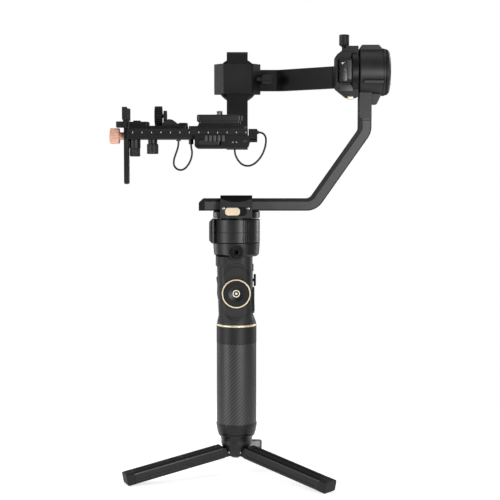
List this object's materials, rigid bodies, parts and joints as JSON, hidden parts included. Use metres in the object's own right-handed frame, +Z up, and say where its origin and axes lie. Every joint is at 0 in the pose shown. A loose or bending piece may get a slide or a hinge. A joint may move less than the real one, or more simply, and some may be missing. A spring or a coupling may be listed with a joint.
{
  "type": "gimbal stabilizer",
  "caption": "Single-handle three-axis camera gimbal on a folding mini tripod, with sliding arms, quick-release rail, lens support, focus servo and two short cables.",
  "frame": {"origin": "mouth of the threaded hole in the underside of the tripod hub, on the pan axis", "axes": "+Z up the handle and the pan axis, -X the way the camera looks, -Y the side of the control wheel"},
  "size_m": [0.2993, 0.2301, 0.4762],
  "materials": {
    "dark_aluminium": "black anodised, satin",
    "grey_aluminium": "dark grey anodised, satin",
    "black_plastic": "fine-grained moulded plastic",
    "gloss_black": "polished black plastic",
    "grip_rubber": "rubber with a diagonal twill texture",
    "foot_rubber": "matt rubber",
    "cable_rubber": "smooth black cable jacket",
    "gold_trim": "pale gold anodised, polished",
    "copper_knob": "rose copper anodised, knurled",
    "steel": "bright turned steel",
    "cell_wrap": null,
    "stator_iron": "laminated iron with copper windings"
  },
  "bodies": {
    "handle": {"tripod_hub": "dark_aluminium", "leg_hinge_pins": "steel", "handle_end_cap": "dark_aluminium", "handle_tube": "dark_aluminium", "grip_sleeve": "grip_rubber", "battery_cells": "cell_wrap", "gold_ring": "gold_trim", "control_housing": "black_plastic", "rear_panel": "gloss_black", "accessory_socket": "steel", "pan_housing": "grey_aluminium", "pan_stator": "stator_iron"},
    "leg_left": {"leg_left": "black_plastic", "foot_left": "foot_rubber"},
    "leg_right": {"leg_right": "black_plastic", "foot_right": "foot_rubber"},
    "leg_back": {"leg_back": "black_plastic", "foot_back": "foot_rubber"},
    "control_wheel": {"control_wheel": "gloss_black", "wheel_ring": "gold_trim"},
    "joystick_yoke": {"joystick_yoke": "black_plastic"},
    "joystick_cap": {"joystick_cap": "foot_rubber"},
    "trigger": {"trigger": "black_plastic"},
    "power_button": {"power_button": "black_plastic"},
    "pan_rotor": {"pan_rotor": "dark_aluminium", "pan_clamp": "dark_aluminium"},
    "pan_latch": {"pan_latch": "gold_trim"},
    "pan_clamp_knob": {"pan_clamp_knob": "black_plastic"},
    "yaw_arm": {"yaw_arm": "dark_aluminium", "yaw_arm_cover": "grey_aluminium", "roll_housing": "grey_aluminium", "roll_end_cap": "grey_aluminium", "roll_stator": "stator_iron"},
    "roll_rotor": {"roll_rotor": "dark_aluminium", "roll_clamp": "dark_aluminium"},
    "roll_knob": {"roll_knob": "black_plastic"},
    "roll_latch": {"roll_latch": "gold_trim"},
    "roll_arm": {"roll_arm": "dark_aluminium", "tilt_housing": "grey_aluminium", "tilt_end_cap": "grey_aluminium", "tilt_stator": "stator_iron"},
    "tilt_rotor": {"tilt_rotor": "dark_aluminium", "tilt_clamp": "dark_aluminium"},
    "tilt_knob": {"tilt_knob": "black_plastic"},
    "tilt_arm": {"tilt_arm": "dark_aluminium", "rail_clamp": "dark_aluminium", "port_cable": "cable_rubber"},
    "clamp_lever": {"clamp_lever": "grey_aluminium"},
    "rail": {"camera_rail": "grey_aluminium", "quick_release": "dark_aluminium", "camera_plate": "grey_aluminium", "lens_support_base": "dark_aluminium", "focus_servo": "black_plastic", "servo_cable": "cable_rubber"},
    "camera_screw": {"camera_screw": "steel"},
    "support_rod": {"support_rod": "dark_aluminium"},
    "rod_knob": {"rod_knob": "copper_knob"},
    "thumbscrew_front": {"thumbscrew_front": "black_plastic"},
    "thumbscrew_rear": {"thumbscrew_rear": "black_plastic"},
    "focus_gear": {"focus_gear": "black_plastic"}
  },
  "joints": [
    {"name": "leg_left_fold", "type": "hinge", "parent": "handle", "child": "leg_left", "pos_m": [-0.0098, -0.00376, 0.0065], "axis": [0.3584, -0.9336, 0], "range_deg": [0, 78.8]},
    {"name": "leg_right_fold", "type": "hinge", "parent": "handle", "child": "leg_right", "pos_m": [0.00816, -0.00661, 0.0065], "axis": [0.6293, 0.7771, 0], "range_deg": [0, 78.8]},
    {"name": "leg_back_fold", "type": "hinge", "parent": "handle", "child": "leg_back", "pos_m": [0.00164, 0.01037, 0.0065], "axis": [-0.9877, 0.1564, 0], "range_deg": [0, 78.8]},
    {"name": "wheel_spin", "type": "hinge", "parent": "handle", "child": "control_wheel", "pos_m": [0, -0.0194, 0.1796], "axis": [0, 1, 0], "continuous": true},
    {"name": "joystick_up_down", "type": "hinge", "parent": "handle", "child": "joystick_yoke", "pos_m": [0.0138, 0, 0.1924], "axis": [0, 1, 0], "range_deg": [-12, 12], "stiffness_Nm_per_rad": 0.05},
    {"name": "joystick_left_right", "type": "hinge", "parent": "joystick_yoke", "child": "joystick_cap", "pos_m": [0.0138, 0, 0.1924], "axis": [0, 0, 1], "range_deg": [-12, 12], "stiffness_Nm_per_rad": 0.05},
    {"name": "trigger_pull", "type": "slide", "parent": "handle", "child": "trigger", "axis": [1, 0, 0], "range_m": [0, 0.003], "stiffness_N_per_m": 400},
    {"name": "power_button_press", "type": "slide", "parent": "handle", "child": "power_button", "axis": [-1, 0, 0], "range_m": [0, 0.0008], "stiffness_N_per_m": 500},
    {"name": "pan_spin", "type": "hinge", "parent": "handle", "child": "pan_rotor", "pos_m": [0, 0, 0.2587], "axis": [0, 0, 1], "continuous": true},
    {"name": "pan_latch_slide", "type": "slide", "parent": "pan_rotor", "child": "pan_latch", "axis": [1, 0, 0], "range_m": [0, 0.0065]},
    {"name": "pan_clamp_knob_turn", "type": "hinge", "parent": "pan_rotor", "child": "pan_clamp_knob", "pos_m": [0, 0.03, 0.2741], "axis": [0, 1, 0], "range_deg": [0, 360]},
    {"name": "yaw_arm_slide", "type": "slide", "parent": "pan_rotor", "child": "yaw_arm", "axis": [1, 0, 0], "range_m": [-0.03, 0.018]},
    {"name": "roll_spin", "type": "hinge", "parent": "yaw_arm", "child": "roll_rotor", "pos_m": [0.1307, 0, 0.4155], "axis": [1, 0, 0], "range_deg": [-45, 90]},
    {"name": "roll_knob_turn", "type": "hinge", "parent": "roll_rotor", "child": "roll_knob", "pos_m": [0.1153, 0, 0.445], "axis": [0, 0, 1], "range_deg": [0, 360]},
    {"name": "roll_latch_slide", "type": "slide", "parent": "roll_rotor", "child": "roll_latch", "axis": [0, 1, 0], "range_m": [0, 0.005]},
    {"name": "roll_arm_slide", "type": "slide", "parent": "roll_rotor", "child": "roll_arm", "axis": [0, 1, 0], "range_m": [-0.03, 0.004]},
    {"name": "tilt_spin", "type": "hinge", "parent": "roll_arm", "child": "tilt_rotor", "pos_m": [0, 0.1105, 0.4155], "axis": [0, 1, 0], "range_deg": [-25, 135]},
    {"name": "tilt_knob_turn", "type": "hinge", "parent": "tilt_rotor", "child": "tilt_knob", "pos_m": [0.03, 0.0951, 0.4155], "axis": [1, 0, 0], "range_deg": [0, 360]},
    {"name": "tilt_arm_slide", "type": "slide", "parent": "tilt_rotor", "child": "tilt_arm", "axis": [0, 0, 1], "range_m": [-0.012, 0.025]},
    {"name": "clamp_lever_swing", "type": "hinge", "parent": "tilt_arm", "child": "clamp_lever", "pos_m": [-0.019, -0.0273, 0.34], "axis": [0, 0, 1], "range_deg": [0, 100]},
    {"name": "rail_slide", "type": "slide", "parent": "tilt_arm", "child": "rail", "axis": [1, 0, 0], "range_m": [-0.03, 0]},
    {"name": "camera_screw_turn", "type": "hinge", "parent": "rail", "child": "camera_screw", "pos_m": [-0.018, 0, 0.3694], "axis": [0, 0, 1], "range_deg": [0, 360]},
    {"name": "support_rod_slide", "type": "slide", "parent": "rail", "child": "support_rod", "axis": [0, 0, 1], "range_m": [0, 0.016]},
    {"name": "rod_knob_turn", "type": "hinge", "parent": "rail", "child": "rod_knob", "pos_m": [-0.1255, 0, 0.3475], "axis": [1, 0, 0], "range_deg": [0, 360]},
    {"name": "thumbscrew_front_turn", "type": "hinge", "parent": "rail", "child": "thumbscrew_front", "pos_m": [-0.109, 0, 0.344], "axis": [0, 0, 1], "range_deg": [0, 360]},
    {"name": "thumbscrew_rear_turn", "type": "hinge", "parent": "rail", "child": "thumbscrew_rear", "pos_m": [-0.09, 0, 0.344], "axis": [0, 0, 1], "range_deg": [0, 360]},
    {"name": "focus_gear_spin", "type": "hinge", "parent": "rail", "child": "focus_gear", "pos_m": [-0.0796, 0, 0.3689], "axis": [1, 0, 0], "continuous": true}
  ]
}
